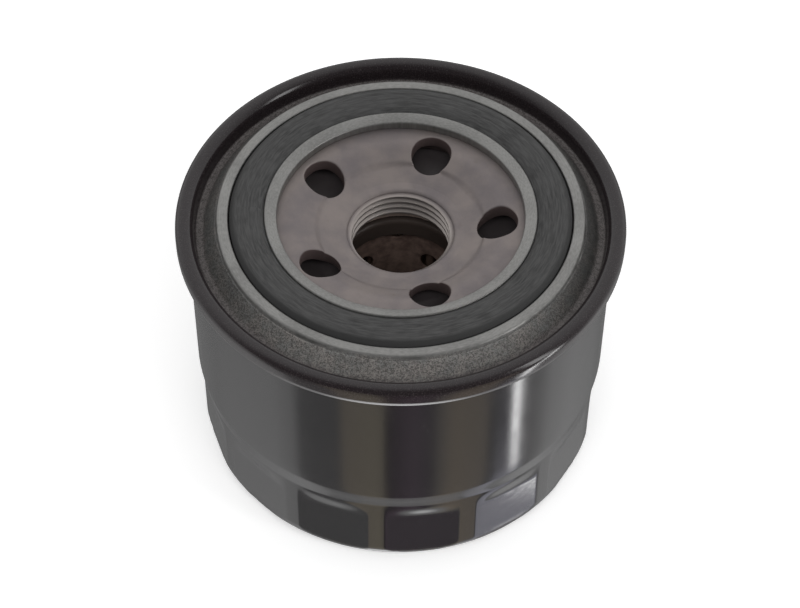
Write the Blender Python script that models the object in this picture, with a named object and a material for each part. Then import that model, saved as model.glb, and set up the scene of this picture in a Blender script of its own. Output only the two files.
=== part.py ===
"""Spin-on oil filter, standing on its closed end with the threaded plate up.

Every length below is in millimetres and becomes metres in the mesh functions.
The origin is the middle of the closed end's rest face, and +Z is the filter's axis.
Three empties group the pieces: the fixed housing, the filter element that slides
against its support spring, and the relief valve disc that lifts inside the element.
"""
import math

import bmesh
import bpy
from mathutils import Matrix, Vector

MM = 0.001
GAP = 0.35                      # clearance kept between neighbouring pieces

# Overall size
LIP_TOP = 59.3                  # top of the gasket channel's outer lip
BODY_R = 40.67                  # straight wall of the can
SEAM_R = 42.93                  # outside of the rolled seam
CAN_SHEET = 0.5
LID_SHEET = 0.6

# Wrench flats at the closed end
FLAT_COUNT = 14
FLAT_PHASE = math.radians(-82.9)   # middle of the flat nearest the front
RIDGE_R = 40.0                  # cylinder left between two flats
FLAT_APOTHEM = 39.3             # axis to the middle of a flat
FLAT_TOP = 14.4
RUN_OUT = 4.0                   # height in which a flat runs out to the cylinder
SHOULDER_TOP = 22.8             # the wall is back at BODY_R here
CORNER_R = 4.5

# Threaded plate
PLATE_TOP = 57.3
PLATE_RECESS = 55.1             # flat middle of the plate, round the thread
PLATE_T = 2.6
PLATE_R = 36.6
THREAD_MINOR_R = 9.19           # M20 x 1.5 internal thread
NECK_R = 11.9
NECK_BOTTOM = 47.6
MOUTH_R = 13.6                  # the plate begins to round down into the neck here
MOUTH_LIP_R = 11.0
MOUTH_DEPTH = 1.0
INLET_COUNT = 5
INLET_R = 3.85
INLET_PITCH_R = 18.49
INLET_PHASE = math.radians(71.5)

# Sealing gasket
GASKET_R_IN = 26.4
GASKET_R_OUT = 32.4
GASKET_TOP = 60.3
CHANNEL_FLOOR = 55.4

# Filter element
CAP_R = 35.8
CAP_SHEET = 0.5
CAP_RIM = 3.0
TOP_CAP_Z = 43.7                # upper face of the upper cap
BOTTOM_CAP_Z = 9.4              # lower face of the lower cap
CAP_HOLE_R = 11.5
TUBE_R = 13.8
TUBE_SHEET = 0.5
POTTING_T = 0.8
POTTING_R_OUT = 34.9
MEDIA_R_OUT = 33.6
MEDIA_R_IN = 15.2
MEDIA_T = 0.5
PLEAT_COUNT = 40
TUBE_ROWS = 4
TUBE_COLUMNS = 6
TUBE_HOLE_R = 2.2

# Relief valve in the lower cap
SEAT_HOLE_R = 5.5
DISC_R = 7.6
CAGE_R = 9.4
DISC_T = 0.6
BOSS_R = 3.6
SEAL_T = 0.7
CAGE_SHEET = 0.5
CAGE_TOP = 21.8
COIL_R = 5.0
COIL_WIRE_R = 0.45
COIL_TURNS = 5
COIL_STEPS = 12                 # straight pieces in one turn
COIL_FLAT_PITCH = 1.05          # pitch of the closed end turns

# Leaf spring under the element
LEAF_T = 0.6

BODY_STEPS = 44                 # sides of the large turned pieces
INNER_STEPS = 28                # sides of the small turned pieces


# ---------------------------------------------------------------- mesh helpers

def clear_scene():
    for item in list(bpy.data.objects):
        bpy.data.objects.remove(item, do_unlink=True)


def material(name, color, roughness, metallic):
    made = bpy.data.materials.new(name)
    made.use_nodes = True
    shader = made.node_tree.nodes["Principled BSDF"]
    shader.inputs["Base Color"].default_value = (*color, 1.0)
    shader.inputs["Roughness"].default_value = roughness
    shader.inputs["Metallic"].default_value = metallic
    return made


def height_of(item):
    """Height of an empty's own origin above the floor, through its parents."""
    height = 0.0
    while item:
        height += item.location.z
        item = item.parent
    return height


def finish_mesh(name, mesh_builder, finish, parent, crease_deg=35):
    """Close a bmesh into an object with outward faces, smooth rounds and one material."""
    bmesh.ops.remove_doubles(mesh_builder, verts=mesh_builder.verts, dist=1e-6)
    bmesh.ops.recalc_face_normals(mesh_builder, faces=mesh_builder.faces)
    mesh = bpy.data.meshes.new(name)
    mesh_builder.to_mesh(mesh)
    mesh_builder.free()
    mesh.shade_smooth()
    mesh.set_sharp_from_angle(angle=math.radians(crease_deg))
    mesh.materials.append(finish)
    made = bpy.data.objects.new(name, mesh)
    bpy.context.collection.objects.link(made)
    made.parent = parent
    made.location.z = -height_of(parent)
    return made


def spun(outline, steps, closed=True):
    """Turn an outline of (radius, height) points round the axis."""
    made = bmesh.new()
    verts = [made.verts.new((r * MM, 0, z * MM)) for r, z in outline]
    pairs = zip(verts, verts[1:] + verts[:1]) if closed else zip(verts, verts[1:])
    edges = [made.edges.new(pair) for pair in pairs]
    bmesh.ops.spin(made, geom=verts + edges, axis=(0, 0, 1), cent=(0, 0, 0),
                   angle=math.tau, steps=steps, use_merge=True)
    return made


def turned(name, outline, finish, parent, steps=BODY_STEPS, closed=True):
    return finish_mesh(name, spun(outline, steps, closed), finish, parent)


def ring_of_sheet(r_in, r_out, z_low, z_high):
    return [(r_in, z_low), (r_out, z_low), (r_out, z_high), (r_in, z_high)]


def guide(name, made):
    """A hidden cutter for a Boolean."""
    bmesh.ops.recalc_face_normals(made, faces=made.faces)
    mesh = bpy.data.meshes.new(name)
    made.to_mesh(mesh)
    made.free()
    cutter = bpy.data.objects.new(name, mesh)
    bpy.context.collection.objects.link(cutter)
    cutter.hide_render = True
    cutter.display_type = "WIRE"
    return cutter


def cut(target, cutter):
    modifier = target.modifiers.new("cut_" + cutter.name, "BOOLEAN")
    modifier.operation = "DIFFERENCE"
    modifier.solver = "EXACT"
    modifier.object = cutter


def add_cylinder(made, radius, length, centre, direction, sides):
    turn = Vector((0, 0, 1)).rotation_difference(Vector(direction)).to_matrix().to_4x4()
    place = Matrix.Translation(Vector(centre) * MM) @ turn
    bmesh.ops.create_cone(made, cap_ends=True, segments=sides, radius1=radius * MM,
                          radius2=radius * MM, depth=length * MM, matrix=place)


def polar(radius, angle, z):
    return Vector((radius * math.cos(angle), radius * math.sin(angle), z)) * MM


# ---------------------------------------------------------------- housing

def flat_limit(angle_from_middle, z, offset):
    """Radius at which a wrench flat, moved in by offset, cuts a ray from the axis."""
    lift = max(0.0, z - FLAT_TOP) / RUN_OUT * (RIDGE_R - FLAT_APOTHEM)
    return (FLAT_APOTHEM + lift - offset) / math.cos(angle_from_middle)


def make_can(finish, parent):
    """Deep-drawn can: dished closed end, wrench flats, shoulder, wall and seam hook."""
    inner_r = BODY_R - CAN_SHEET
    flat_half = math.acos(FLAT_APOTHEM / RIDGE_R)
    hook_r = SEAM_R - 1.0
    outside = [(0, 1.1), (15.5, 1.1), (18.5, 0), (RIDGE_R - CORNER_R, 0)]
    for step in (1, 2, 3):
        turn = math.radians(30 * step)
        outside.append((RIDGE_R - CORNER_R * (1 - math.sin(turn)),
                        CORNER_R * (1 - math.cos(turn))))
    outside += [(RIDGE_R, FLAT_TOP), (RIDGE_R, FLAT_TOP + RUN_OUT),
                (RIDGE_R + 0.35, SHOULDER_TOP - 1.8), (BODY_R, SHOULDER_TOP),
                (BODY_R, 56.35), (hook_r - 0.5, 56.6), (hook_r - 0.5, 55.9),
                (hook_r, 55.9), (hook_r, 57.1)]
    inside = [(inner_r, 57.1), (inner_r, SHOULDER_TOP + 0.3),
              (RIDGE_R - CAN_SHEET, FLAT_TOP + RUN_OUT - 0.2),
              (RIDGE_R - CAN_SHEET, FLAT_TOP), (RIDGE_R - CAN_SHEET, CORNER_R),
              (38.3, 1.8), (RIDGE_R - CORNER_R, CAN_SHEET),
              (18.8, CAN_SHEET), (15.7, 1.1 + CAN_SHEET), (0, 1.1 + CAN_SHEET)]

    columns = []
    for flat in range(FLAT_COUNT):
        middle = FLAT_PHASE + math.tau * flat / FLAT_COUNT
        for share in (-1, -0.34, 0.34, 1):
            columns.append((middle + share * flat_half, share * flat_half))

    made = bmesh.new()
    rings = []
    for outline, offset in ((outside, 0), (inside, CAN_SHEET)):
        for r, z in outline:
            if r == 0:
                rings.append([made.verts.new((0, 0, z * MM))])
                continue
            ring = []
            for angle, from_middle in columns:
                radius = r
                if z < SHOULDER_TOP - 2:
                    radius = min(r, flat_limit(from_middle, z, offset))
                ring.append(made.verts.new(polar(radius, angle, z)))
            rings.append(ring)
    for low, high in zip(rings, rings[1:]):
        for here in range(len(columns)):
            after = (here + 1) % len(columns)
            if len(low) == 1:
                made.faces.new((low[0], high[here], high[after]))
            elif len(high) == 1:
                made.faces.new((low[here], low[after], high[0]))
            else:
                made.faces.new((low[here], low[after], high[after], high[here]))
    return finish_mesh("can_shell", made, finish, parent, crease_deg=12)


def make_lid(finish, parent):
    """Pressed lid: inner lip, gasket channel, outer lip, groove and rolled seam."""
    floor_low = CHANNEL_FLOOR - LID_SHEET
    top_side = [(23.74, 58.2), (23.95, 58.6), (25.3, 59.75), (26.02, 59.6),
                (26.02, CHANNEL_FLOOR), (32.79, CHANNEL_FLOOR), (32.79, 59.1),
                (33.1, LIP_TOP), (34.4, LIP_TOP), (34.9, 59.0), (37.6, 55.9),
                (38.5, 55.4), (39.35, 55.9), (39.35, 57.7), (40.0, 58.45),
                (41.1, 58.7), (42.3, 58.2), (SEAM_R, 57.0), (SEAM_R, 55.7),
                (42.4, 55.05), (41.0, 55.05)]
    under_side = [(41.0, 55.5), (42.3, 55.55), (42.35, 57.3), (41.2, 58.15),
                  (40.1, 57.9), (39.85, 57.4), (39.85, 55.2), (38.5, floor_low),
                  (37.2, 55.35), (34.4, 58.65), (33.39, 58.5), (33.39, floor_low),
                  (25.42, floor_low), (25.42, 59.0), (24.2, 58.1)]
    return turned("seaming_lid", top_side + under_side, finish, parent)


def make_seam_compound(finish, parent):
    """Sealing compound inside the rolled seam, between the can's hook and the lid."""
    return turned("seam_compound", ring_of_sheet(40.5, 41.5, 57.4, 57.65), finish, parent)


def make_base_plate(finish, parent):
    """Thick dished plate with a plunged, threaded neck and a ring of inlet holes."""
    recess_low = PLATE_RECESS - PLATE_T
    flange_top = CHANNEL_FLOOR - LID_SHEET - GAP
    outline = [(24.5, PLATE_TOP), (19.9, PLATE_TOP), (15.1, PLATE_RECESS)]
    for turn in (0, 30, 60, 90):
        angle = math.radians(turn)
        outline.append((MOUTH_R - (MOUTH_R - MOUTH_LIP_R) * math.sin(angle),
                        PLATE_RECESS - MOUTH_DEPTH * (1 - math.cos(angle))))
    outline += [(THREAD_MINOR_R, PLATE_RECESS - MOUTH_DEPTH - 0.5),
                (THREAD_MINOR_R, NECK_BOTTOM + 0.5), (THREAD_MINOR_R + 0.4, NECK_BOTTOM),
                (NECK_R, NECK_BOTTOM), (NECK_R, recess_low - 1.2), (13.0, recess_low),
                (16.0, recess_low), (20.8, PLATE_TOP - PLATE_T),
                (22.9, PLATE_TOP - PLATE_T), (24.0, flange_top - PLATE_T),
                (PLATE_R, flange_top - PLATE_T), (PLATE_R, flange_top),
                (25.05, flange_top)]
    plate = turned("base_plate", outline, finish, parent)
    drills = bmesh.new()
    for hole in range(INLET_COUNT):
        angle = INLET_PHASE + math.tau * hole / INLET_COUNT
        centre = (INLET_PITCH_R * math.cos(angle), INLET_PITCH_R * math.sin(angle), PLATE_TOP)
        add_cylinder(drills, INLET_R, 20, centre, (0, 0, 1), 20)
    cut(plate, guide("inlet_drills", drills))
    return plate


def make_gasket(finish, parent):
    low = CHANNEL_FLOOR + GAP
    outline = [(GASKET_R_IN, low), (GASKET_R_OUT, low), (GASKET_R_OUT, 57.4),
               (31.5, 58.6), (31.1, GASKET_TOP), (GASKET_R_IN + 0.15, GASKET_TOP)]
    return turned("sealing_gasket", outline, finish, parent)


def make_anti_drain_valve(finish, parent):
    """Rubber sleeve round the neck with a thin conical skirt under the inlet holes."""
    lip_top = CHANNEL_FLOOR - LID_SHEET - GAP - PLATE_T - GAP
    outline = [(12.3, 44.1), (14.3, 44.1), (14.9, 47.3), (26.6, lip_top - 1.3),
               (28.4, lip_top - 1.0), (28.4, lip_top), (26.2, lip_top),
               (16.2, 48.9), (14.6, 49.6), (12.3, 49.6)]
    return turned("anti_drain_valve", outline, finish, parent, steps=32)


# ---------------------------------------------------------------- filter element

def make_top_cap(finish, parent):
    low = TOP_CAP_Z - CAP_SHEET
    outline = [(CAP_HOLE_R, 39.5), (CAP_HOLE_R + CAP_SHEET, 39.5),
               (CAP_HOLE_R + CAP_SHEET, low), (CAP_R - CAP_SHEET, low),
               (CAP_R - CAP_SHEET, TOP_CAP_Z - CAP_RIM), (CAP_R, TOP_CAP_Z - CAP_RIM),
               (CAP_R, TOP_CAP_Z), (CAP_HOLE_R, TOP_CAP_Z)]
    return turned("top_end_cap", outline, finish, parent, steps=32)


def make_bottom_cap(finish, parent):
    high = BOTTOM_CAP_Z + CAP_SHEET
    outline = [(SEAT_HOLE_R, BOTTOM_CAP_Z), (CAP_R, BOTTOM_CAP_Z),
               (CAP_R, BOTTOM_CAP_Z + CAP_RIM), (CAP_R - CAP_SHEET, BOTTOM_CAP_Z + CAP_RIM),
               (CAP_R - CAP_SHEET, high), (SEAT_HOLE_R, high)]
    return turned("bottom_end_cap", outline, finish, parent, steps=32)


def make_potting(name, z_low, finish, parent):
    """Adhesive ring that holds the pleats' ends in a cap."""
    outline = ring_of_sheet(TUBE_R + GAP, POTTING_R_OUT, z_low, z_low + POTTING_T)
    return turned(name, outline, finish, parent, steps=INNER_STEPS)


def offset_loop(points, distance):
    """Move a closed plan outline sideways by a distance, with mitred corners."""
    moved = []
    count = len(points)
    for index, point in enumerate(points):
        before = (point - points[index - 1]).normalized()
        after = (points[(index + 1) % count] - point).normalized()
        normal_a = Vector((before.y, -before.x))
        normal_b = Vector((after.y, -after.x))
        mitre = normal_a + normal_b
        moved.append(point + mitre * (2 * distance / mitre.length_squared))
    return moved


def make_media(finish, parent):
    """Pleated paper ring, with blunt folds inside and outside."""
    low = BOTTOM_CAP_Z + CAP_SHEET + GAP + POTTING_T + GAP
    high = TOP_CAP_Z - CAP_SHEET - GAP - POTTING_T - GAP
    pitch = math.tau / PLEAT_COUNT
    outer_half = 0.8 / MEDIA_R_OUT
    inner_half = pitch / 4
    centre_line = []
    for pleat in range(PLEAT_COUNT):
        peak = pleat * pitch
        valley = peak + pitch / 2
        for radius, angle in ((MEDIA_R_OUT, peak - outer_half), (MEDIA_R_OUT, peak + outer_half),
                              (MEDIA_R_IN, valley - inner_half), (MEDIA_R_IN, valley + inner_half)):
            centre_line.append(Vector((radius * math.cos(angle), radius * math.sin(angle))))
    outer = offset_loop(centre_line, MEDIA_T / 2)
    inner = offset_loop(centre_line, -MEDIA_T / 2)
    made = bmesh.new()
    loops = []
    for plan, z in ((inner, low), (outer, low), (outer, high), (inner, high)):
        loops.append([made.verts.new((p.x * MM, p.y * MM, z * MM)) for p in plan])
    for a, b in zip(loops, loops[1:] + loops[:1]):
        for here in range(len(a)):
            after = (here + 1) % len(a)
            made.faces.new((a[here], a[after], b[after], b[here]))
    return finish_mesh("pleated_media", made, finish, parent, crease_deg=20)


def make_pleat_clip(finish, parent):
    """Steel channel that grips the pleat where the paper's two ends meet."""
    half_in = 0.8 + MEDIA_T / 2 + GAP
    half_out = half_in + 0.3
    r_deep = MEDIA_R_OUT - 4.5
    r_in = MEDIA_R_OUT + MEDIA_T / 2 + GAP
    r_out = r_in + 0.3
    outline = [(r_deep, -half_out), (r_out, -half_out), (r_out, half_out), (r_deep, half_out),
               (r_deep, half_in), (r_in, half_in), (r_in, -half_in), (r_deep, -half_in)]
    low = BOTTOM_CAP_Z + CAP_SHEET + 2 * GAP + POTTING_T + 0.4
    high = TOP_CAP_Z - CAP_SHEET - 2 * GAP - POTTING_T - 0.4
    made = bmesh.new()
    face = made.faces.new([made.verts.new((x * MM, y * MM, low * MM)) for x, y in outline])
    lifted = bmesh.ops.extrude_face_region(made, geom=[face])
    tops = [item for item in lifted["geom"] if isinstance(item, bmesh.types.BMVert)]
    bmesh.ops.translate(made, verts=tops, vec=(0, 0, (high - low) * MM))
    return finish_mesh("pleat_clip", made, finish, parent)


def make_centre_tube(finish, parent):
    """Perforated tube that backs the pleats."""
    low = BOTTOM_CAP_Z + CAP_SHEET + GAP
    high = TOP_CAP_Z - CAP_SHEET - GAP
    outline = ring_of_sheet(TUBE_R - TUBE_SHEET, TUBE_R, low, high)
    tube = turned("centre_tube", outline, finish, parent, steps=INNER_STEPS)
    row_step = (high - low) / TUBE_ROWS
    drills = bmesh.new()
    for row in range(TUBE_ROWS):
        for column in range(TUBE_COLUMNS):
            angle = math.tau * (column + 0.5 * (row % 2)) / TUBE_COLUMNS + 0.06
            direction = (math.cos(angle), math.sin(angle), 0)
            centre = (TUBE_R * direction[0], TUBE_R * direction[1], low + row_step * (row + 0.5))
            add_cylinder(drills, TUBE_HOLE_R, 4, centre, direction, 6)
    cut(tube, guide("tube_drills", drills))
    return tube


# ---------------------------------------------------------------- relief valve

def make_cage(finish, parent):
    """Windowed cup, fixed on the lower cap, that holds the coil over the disc."""
    low = BOTTOM_CAP_Z + CAP_SHEET + GAP
    wall_in = CAGE_R - CAGE_SHEET
    outline = [(wall_in, low), (12.6, low), (12.6, low + CAGE_SHEET), (CAGE_R, low + CAGE_SHEET),
               (CAGE_R, CAGE_TOP), (2.5, CAGE_TOP), (2.5, CAGE_TOP - CAGE_SHEET),
               (wall_in, CAGE_TOP - CAGE_SHEET)]
    cage = turned("bypass_cage", outline, finish, parent, steps=INNER_STEPS)
    windows = bmesh.new()
    for side in range(4):
        angle = math.tau * (side + 0.5) / 4
        place = (Matrix.Translation(polar(CAGE_R, angle, (low + CAGE_TOP) / 2))
                 @ Matrix.Rotation(angle, 4, "Z") @ Matrix.Diagonal((3 * MM, 7 * MM, 7 * MM, 1)))
        bmesh.ops.create_cube(windows, size=1.0, matrix=place)
    cut(cage, guide("cage_windows", windows))
    return cage


def make_bypass_seal(finish, parent):
    low = BOTTOM_CAP_Z + CAP_SHEET + GAP
    outline = ring_of_sheet(SEAT_HOLE_R, DISC_R, low, low + SEAL_T)
    return turned("bypass_seal", outline, finish, parent, steps=INNER_STEPS)


def make_bypass_disc(finish, parent):
    """Relief valve disc, with a boss that centres the coil."""
    low = BOTTOM_CAP_Z + CAP_SHEET + 2 * GAP + SEAL_T
    outline = [(0, low), (DISC_R, low), (DISC_R, low + DISC_T), (BOSS_R, low + DISC_T),
               (BOSS_R - 0.5, low + 2.2), (0, low + 2.2)]
    return turned("bypass_disc", outline, finish, parent, steps=INNER_STEPS, closed=False)


def make_bypass_spring(finish, parent):
    """Open coil between the disc and the cage, with its end turns closed up."""
    low = BOTTOM_CAP_Z + CAP_SHEET + 3 * GAP + SEAL_T + DISC_T + COIL_WIRE_R
    high = CAGE_TOP - CAGE_SHEET - GAP - COIL_WIRE_R
    flat_turn = 0.75
    rise = (high - low - 2 * flat_turn * COIL_FLAT_PITCH) / (COIL_TURNS - 2 * flat_turn)
    made = bmesh.new()
    rings = []
    steps = COIL_TURNS * COIL_STEPS
    for step in range(steps + 1):
        turns = COIL_TURNS * step / steps
        lower = min(turns, flat_turn)
        upper = max(0.0, turns - (COIL_TURNS - flat_turn))
        z = low + (lower + upper) * COIL_FLAT_PITCH + (turns - lower - upper) * rise
        angle = math.tau * turns
        ring = []
        for side in range(6):
            turn = math.tau * side / 6
            ring.append(made.verts.new(polar(COIL_R + COIL_WIRE_R * math.cos(turn), angle,
                                             z + COIL_WIRE_R * math.sin(turn))))
        rings.append(ring)
    for near, far in zip(rings, rings[1:]):
        for here in range(6):
            after = (here + 1) % 6
            made.faces.new((near[here], near[after], far[after], far[here]))
    made.faces.new(rings[0])
    made.faces.new(rings[-1])
    return finish_mesh("bypass_spring", made, finish, parent, crease_deg=70)


def make_support_spring(finish, parent):
    """Pressed leaf spring: a ring under the element and four legs on the can's floor."""
    high = BOTTOM_CAP_Z - GAP - LEAF_T / 2
    low = CAN_SHEET + GAP + LEAF_T / 2
    drop = high - low
    steps = 32
    made = bmesh.new()
    inner = [made.verts.new(polar(9.5, math.tau * i / steps, high)) for i in range(steps)]
    outer = [made.verts.new(polar(14.0, math.tau * i / steps, high)) for i in range(steps)]
    for here in range(steps):
        after = (here + 1) % steps
        made.faces.new((inner[here], outer[here], outer[after], inner[after]))
    rows = ((16.5, 0.12), (19.0, 0.45), (22.5, 0.9), (25.0, 1.0), (29.0, 1.0))
    for leg in range(4):
        angle = math.tau * leg / 4
        turn = Matrix.Rotation(angle, 3, "Z")
        offsets = (-2, -1, 0, 1, 2)
        last = [outer[(leg * steps // 4 + offset) % steps] for offset in offsets]
        sides = [14.0 * math.sin(math.tau * offset / steps) for offset in offsets]
        for reach, share in rows:
            row = []
            for side in sides:
                spot = Vector((reach, side, high - drop * share)) * MM
                row.append(made.verts.new(turn @ spot))
            for here in range(len(row) - 1):
                made.faces.new((last[here], row[here], row[here + 1], last[here + 1]))
            last = row
    spring = finish_mesh("support_spring", made, finish, parent)
    sheet = spring.modifiers.new("sheet", "SOLIDIFY")
    sheet.thickness = LEAF_T * MM
    sheet.offset = 0
    sheet.use_even_offset = True
    return spring


# ---------------------------------------------------------------- assembly

def body_empty(name, z, parent=None):
    """Empty on the axis that carries one rigid body; z is its height above the floor."""
    made = bpy.data.objects.new(name, None)
    made.location.z = z * MM - (height_of(parent) if parent else 0)
    made.parent = parent
    bpy.context.collection.objects.link(made)
    return made


def build():
    clear_scene()
    black_paint = material("black_paint", (0.03, 0.028, 0.03), 0.25, 0.0)
    lid_paint = material("lid_paint", (0.1, 0.1, 0.1), 0.35, 0.2)
    plate_steel = material("plate_steel", (0.36, 0.33, 0.32), 0.38, 1.0)
    gasket_rubber = material("gasket_rubber", (0.045, 0.046, 0.048), 0.7, 0.0)
    valve_rubber = material("valve_rubber", (0.05, 0.05, 0.055), 0.6, 0.0)
    compound = material("compound", (0.22, 0.2, 0.17), 0.8, 0.0)
    tinned_steel = material("tinned_steel", (0.55, 0.54, 0.5), 0.35, 1.0)
    adhesive = material("adhesive", (0.5, 0.16, 0.06), 0.5, 0.0)
    paper = material("paper", (0.75, 0.58, 0.3), 0.9, 0.0)
    spring_steel = material("spring_steel", (0.2, 0.2, 0.21), 0.3, 1.0)

    housing = body_empty("housing", 0)
    make_can(black_paint, housing)
    make_lid(lid_paint, housing)
    make_seam_compound(compound, housing)
    make_base_plate(plate_steel, housing)
    make_gasket(gasket_rubber, housing)
    make_anti_drain_valve(valve_rubber, housing)
    make_support_spring(spring_steel, housing)

    element = body_empty("element", BOTTOM_CAP_Z, housing)
    make_top_cap(tinned_steel, element)
    make_bottom_cap(tinned_steel, element)
    make_potting("bottom_potting", BOTTOM_CAP_Z + CAP_SHEET + GAP, adhesive, element)
    make_potting("top_potting", TOP_CAP_Z - CAP_SHEET - GAP - POTTING_T, adhesive, element)
    make_media(paper, element)
    make_pleat_clip(tinned_steel, element)
    make_centre_tube(tinned_steel, element)
    make_cage(tinned_steel, element)
    make_bypass_spring(spring_steel, element)

    relief_valve = body_empty("relief_valve", BOTTOM_CAP_Z + CAP_SHEET, element)
    make_bypass_seal(valve_rubber, relief_valve)
    make_bypass_disc(tinned_steel, relief_valve)


build()
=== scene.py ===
"""Looks of the spin-on oil filter: fine meshes, materials, studio and camera.

Outlines are lists of (radius, height, fillet) corners in millimetres, in the CAD frame: the
filter stands on its closed end, and +Z is its axis.
"""
import math

import bmesh
import bpy
from mathutils import Matrix, Vector


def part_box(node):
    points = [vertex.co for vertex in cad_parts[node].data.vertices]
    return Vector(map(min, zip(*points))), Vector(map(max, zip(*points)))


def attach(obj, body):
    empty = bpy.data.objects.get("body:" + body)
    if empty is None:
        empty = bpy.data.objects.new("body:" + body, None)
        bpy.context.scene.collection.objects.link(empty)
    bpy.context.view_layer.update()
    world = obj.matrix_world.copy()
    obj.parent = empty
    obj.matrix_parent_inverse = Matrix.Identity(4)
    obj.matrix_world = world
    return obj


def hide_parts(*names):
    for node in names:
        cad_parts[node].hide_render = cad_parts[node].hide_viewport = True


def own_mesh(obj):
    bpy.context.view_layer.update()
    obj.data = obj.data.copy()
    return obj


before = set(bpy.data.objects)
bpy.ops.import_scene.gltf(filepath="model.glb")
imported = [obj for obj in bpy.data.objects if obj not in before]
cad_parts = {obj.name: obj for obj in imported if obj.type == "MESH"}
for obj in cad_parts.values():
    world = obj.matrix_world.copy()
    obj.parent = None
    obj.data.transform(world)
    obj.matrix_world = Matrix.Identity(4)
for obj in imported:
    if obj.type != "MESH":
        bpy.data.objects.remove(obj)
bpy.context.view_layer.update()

MM = 0.001


def high(node, axis="z"):
    """A CAD node's highest coordinate, in millimetres."""
    return getattr(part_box(node)[1], axis) / MM


def low(node, axis="z"):
    return getattr(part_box(node)[0], axis) / MM


# ---- sizes (mm)

SEAM_R = high("seaming_lid", "x")
GASKET_TOP = high("sealing_gasket")
LIP_TOP = GASKET_TOP - 1.0
BODY_R = 40.67
CAN_SHEET = 0.5
LID_SHEET = 0.6
CHANNEL_FLOOR = 55.4
SEAM_BEAD_RADII = (40.5, 41.5)

FLAT_COUNT = 14
FLAT_PHASE = math.radians(-82.9)
RIDGE_R = 40.0
FLAT_APOTHEM = 39.33
FLAT_TOP = 14.2
RUN_OUT = 4.4                   # height in which a flat sweeps out to the cylinder
SHOULDER_LOW = 18.9
SHOULDER_TOP = 22.8
CORNER_R = 4.5

PLATE_TOP = high("base_plate")
PLATE_RECESS = PLATE_TOP - 2.2
PLATE_T = 2.6
PLATE_R = high("base_plate", "x")
NECK_BOTTOM = low("base_plate")
NECK_R = 11.9
FUNNEL_R = 12.3                 # the recess slopes down to here, then runs nearly level
FUNNEL_Z = PLATE_TOP - 3.25
MOUTH_R = 11.2                  # and rounds down into the thread from here
MOUTH_Z = PLATE_TOP - 3.4
MOUTH_LIP_R = 10.2
MOUTH_DEPTH = 0.6
THREAD_MAJOR_R = 10.12
THREAD_MINOR_R = 9.38
THREAD_PITCH = 1.5
THREAD_CREST_Z = 53.0           # height of the first full crest, at the back
INLET_COUNT = 5
INLET_R = 3.85
INLET_PITCH_R = 18.49
INLET_PHASE = math.radians(71.5)

CAP_TOP = high("top_end_cap")
CAP_BOTTOM = low("bottom_end_cap")
CAP_R = high("top_end_cap", "x")
CAP_SHEET = 0.5
CAP_BORE_R = 11.5               # hole of the upper cap, inside its collar
CAP_RIM = 3.0
SEAT_HOLE_R = 5.5               # hole of the lower cap, which the relief valve closes
TUBE_R = high("centre_tube", "x")
TUBE_SHEET = 0.5
MEDIA_R_OUT = 33.6
MEDIA_R_IN = 15.2
MEDIA_T = 0.5
PLEAT_COUNT = 40
FOLD_HALF = 0.8                 # half the width of an outer fold
PLEAT_SWAY = 0.012              # radians that a pleat bows to one side

TUBE_ROWS = 4
TUBE_COLUMNS = 6
TUBE_HOLE_R = 2.2
CLIP_SHEET = 0.3
CAGE_R = 9.4
CAGE_SHEET = 0.5
CAGE_FLANGE_R = 12.6
CAGE_HOLE_R = 2.5
CAGE_EDGE = 1.4                 # height of the solid bands over and under the windows
WINDOW_COUNT = 4
WINDOW_R = 3.5
DISC_T = 0.6
BOSS_R = 3.6
COIL_R = 5.0
COIL_WIRE_R = 0.45
COIL_TURNS = 5
COIL_FLAT_PITCH = 1.05
LEAF_T = 0.6
LEAF_HOLE_R = 9.5
LEAF_RING_R = 14.0
LEG_COUNT = 4
LEG_REACH = 29.0
LEG_SLOPE = 10.0                # length in which a leg sweeps down to the floor
LEG_BLEND = 3.0                 # length in which a leg's rows straighten from the ring's arc
LEG_TIP_R = 2.5                 # rounded corners of a leg's tip

ROUND_STEPS = 160               # columns of a turned piece
ARC_STEP = math.radians(9)      # turn of one segment in a fillet
STREAK_R = 30                   # radius at which a streak has its stated length


# ---- outlines

def arc_corner(before, corner, after, radius):
    """Points of a fillet at a corner between two neighbours, all as 2-D vectors."""
    to_before = before - corner
    to_after = after - corner
    opening = to_before.angle(to_after)
    if radius <= 0 or opening > math.radians(178):
        return [corner]
    reach = radius / math.tan(opening / 2)
    limit = 0.49 * min(to_before.length, to_after.length)
    if reach > limit:
        radius *= limit / reach
        reach = limit
    start = corner + to_before.normalized() * reach
    end = corner + to_after.normalized() * reach
    middle = (to_before.normalized() + to_after.normalized()).normalized()
    centre = corner + middle * (radius / math.sin(opening / 2))
    sweep = math.pi - opening
    steps = max(2, round(sweep / ARC_STEP))
    from_centre = start - centre
    side = 1 if from_centre.cross(end - centre) > 0 else -1
    points = []
    for step in range(steps + 1):
        angle = side * sweep * step / steps
        turned = Vector((from_centre.x * math.cos(angle) - from_centre.y * math.sin(angle),
                         from_centre.x * math.sin(angle) + from_centre.y * math.cos(angle)))
        points.append(centre + turned)
    return points


def rounded(corners, closed=True):
    """Outline points of (radius, height, fillet) corners, with every fillet as an arc."""
    spots = [Vector(corner[:2]) for corner in corners]
    path = []
    count = len(corners)
    for index, corner in enumerate(corners):
        fillet = corner[2] if len(corner) > 2 else 0
        ends = not closed and index in (0, count - 1)
        if ends or fillet == 0:
            path.append(spots[index])
        else:
            path += arc_corner(spots[index - 1], spots[index], spots[(index + 1) % count], fillet)
    return path


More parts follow.
